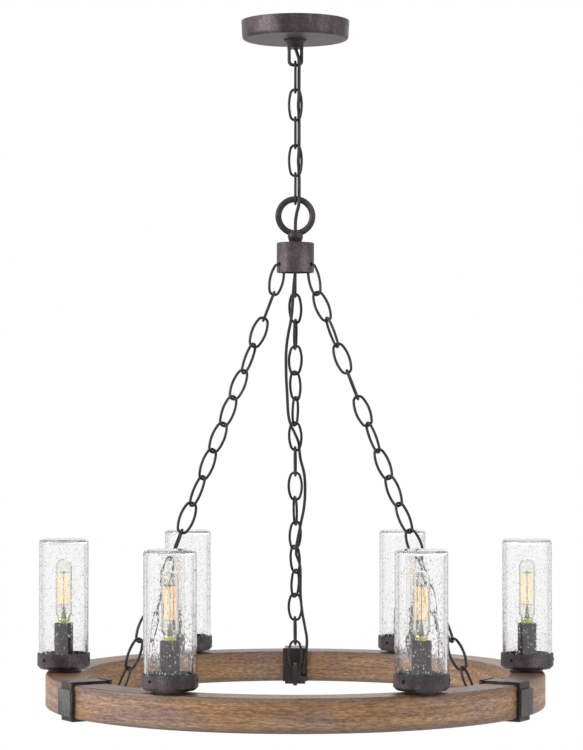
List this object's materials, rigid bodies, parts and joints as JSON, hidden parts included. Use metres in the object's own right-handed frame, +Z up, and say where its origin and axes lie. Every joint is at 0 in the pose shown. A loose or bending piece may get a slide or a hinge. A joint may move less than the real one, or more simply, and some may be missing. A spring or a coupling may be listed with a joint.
{
  "type": "wagon wheel chandelier",
  "caption": "Wooden ring chandelier with upright glass cylinder lamps, held by chains from a hub and a chain to a round ceiling canopy.",
  "frame": {"origin": "centre of the crossbar's screw slots, in the plane of the ceiling", "axes": "+Z up, -Y towards the viewer of the picture, +X to the viewer's right"},
  "size_m": [0.609, 0.5933, 0.8092],
  "materials": {
    "aged_zinc": "grey-brown aged zinc paint, slightly mottled",
    "dark_zinc": "darker aged zinc paint",
    "plated_steel": "dull zinc-plated steel",
    "chain_steel": "near-black painted steel wire",
    "strap_steel": "grey painted steel strap",
    "cord_cover": "black covered cord",
    "screw_steel": "blackened steel",
    "weathered_wood": "greyish brown stained wood with fine grain along the ring",
    "socket_plastic": "black phenolic",
    "bulb_brass": "brass cap, glass stem and fine wires",
    "bulb_clear": "clear glass",
    "seeded_glass": "clear seeded glass"
  },
  "bodies": {
    "ceiling_mount": {"canopy": "aged_zinc", "canopy_collar": "dark_zinc", "canopy_loop": "dark_zinc", "crossbar": "plated_steel", "upper_cord": "cord_cover"},
    "link_1": {"chain_link_1": "chain_steel"},
    "links_2_to_4": {"chain_link_2": "chain_steel", "chain_link_3": "chain_steel", "chain_link_4": "chain_steel"},
    "link_5": {"chain_link_5": "chain_steel"},
    "wheel": {"hub_loop": "dark_zinc", "hub_cup": "aged_zinc", "hub_nut": "dark_zinc", "lower_cord": "cord_cover", "chain_back": "chain_steel", "chain_left": "chain_steel", "chain_right": "chain_steel", "wheel_ring": "weathered_wood", "channel_cover": "plated_steel", "cover_screws": "screw_steel", "wire_harness": "cord_cover", "bracket_back": "strap_steel", "bracket_left": "strap_steel", "bracket_right": "strap_steel", "bracket_plates": "strap_steel", "gallery_spacers": "dark_zinc", "lamp_nipples": "plated_steel", "lamp_nuts": "plated_steel", "lamp_sockets": "socket_plastic", "set_screws": "screw_steel", "gallery_1": "aged_zinc", "gallery_2": "aged_zinc", "gallery_3": "aged_zinc", "gallery_4": "aged_zinc", "gallery_5": "aged_zinc", "gallery_6": "aged_zinc", "socket_sleeve_1": "dark_zinc", "socket_sleeve_2": "dark_zinc", "socket_sleeve_3": "dark_zinc", "socket_sleeve_4": "dark_zinc", "socket_sleeve_5": "dark_zinc", "socket_sleeve_6": "dark_zinc"},
    "shade_1": {"glass_shade_1": "seeded_glass"},
    "shade_2": {"glass_shade_2": "seeded_glass"},
    "shade_3": {"glass_shade_3": "seeded_glass"},
    "shade_4": {"glass_shade_4": "seeded_glass"},
    "shade_5": {"glass_shade_5": "seeded_glass"},
    "shade_6": {"glass_shade_6": "seeded_glass"},
    "bulb_1": {"bulb_core_1": "bulb_brass", "bulb_glass_1": "bulb_clear"},
    "bulb_2": {"bulb_core_2": "bulb_brass", "bulb_glass_2": "bulb_clear"},
    "bulb_3": {"bulb_core_3": "bulb_brass", "bulb_glass_3": "bulb_clear"},
    "bulb_4": {"bulb_core_4": "bulb_brass", "bulb_glass_4": "bulb_clear"},
    "bulb_5": {"bulb_core_5": "bulb_brass", "bulb_glass_5": "bulb_clear"},
    "bulb_6": {"bulb_core_6": "bulb_brass", "bulb_glass_6": "bulb_clear"}
  },
  "joints": [
    {"name": "loop_to_link_1", "type": "hinge", "parent": "ceiling_mount", "child": "link_1", "pos_m": [0, 0, -0.0518], "axis": [1, 0, 0], "range_deg": [-15, 15], "deforming": ["upper_cord"]},
    {"name": "link_1_to_link_2", "type": "hinge", "parent": "link_1", "child": "links_2_to_4", "pos_m": [0, 0, -0.0844], "axis": [0, 1, 0], "range_deg": [-15, 15], "deforming": ["upper_cord"]},
    {"name": "link_4_to_link_5", "type": "hinge", "parent": "links_2_to_4", "child": "link_5", "pos_m": [0, 0, -0.1834], "axis": [1, 0, 0], "range_deg": [-15, 15], "deforming": ["upper_cord"]},
    {"name": "link_5_to_hub_ring", "type": "hinge", "parent": "link_5", "child": "wheel", "pos_m": [0, 0, -0.2164], "axis": [0, 1, 0], "range_deg": [-15, 15], "deforming": ["upper_cord"]},
    {"name": "shade_1_lift", "type": "slide", "parent": "wheel", "child": "shade_1", "axis": [0, 0, 1], "range_m": [0, 0.13]},
    {"name": "shade_2_lift", "type": "slide", "parent": "wheel", "child": "shade_2", "axis": [0, 0, 1], "range_m": [0, 0.13]},
    {"name": "shade_3_lift", "type": "slide", "parent": "wheel", "child": "shade_3", "axis": [0, 0, 1], "range_m": [0, 0.13]},
    {"name": "shade_4_lift", "type": "slide", "parent": "wheel", "child": "shade_4", "axis": [0, 0, 1], "range_m": [0, 0.13]},
    {"name": "shade_5_lift", "type": "slide", "parent": "wheel", "child": "shade_5", "axis": [0, 0, 1], "range_m": [0, 0.13]},
    {"name": "shade_6_lift", "type": "slide", "parent": "wheel", "child": "shade_6", "axis": [0, 0, 1], "range_m": [0, 0.13]},
    {"name": "bulb_1_turn", "type": "hinge", "parent": "wheel", "child": "bulb_1", "pos_m": [0.2733, 0, -0.718], "axis": [0, 0, 1], "range_deg": [0, 1260]},
    {"name": "bulb_2_turn", "type": "hinge", "parent": "wheel", "child": "bulb_2", "pos_m": [0.13665, 0.23668, -0.718], "axis": [0, 0, 1], "range_deg": [0, 1260]},
    {"name": "bulb_3_turn", "type": "hinge", "parent": "wheel", "child": "bulb_3", "pos_m": [-0.13665, 0.23668, -0.718], "axis": [0, 0, 1], "range_deg": [0, 1260]},
    {"name": "bulb_4_turn", "type": "hinge", "parent": "wheel", "child": "bulb_4", "pos_m": [-0.2733, 0, -0.718], "axis": [0, 0, 1], "range_deg": [0, 1260]},
    {"name": "bulb_5_turn", "type": "hinge", "parent": "wheel", "child": "bulb_5", "pos_m": [-0.13665, -0.23668, -0.718], "axis": [0, 0, 1], "range_deg": [0, 1260]},
    {"name": "bulb_6_turn", "type": "hinge", "parent": "wheel", "child": "bulb_6", "pos_m": [0.13665, -0.23668, -0.718], "axis": [0, 0, 1], "range_deg": [0, 1260]}
  ]
}
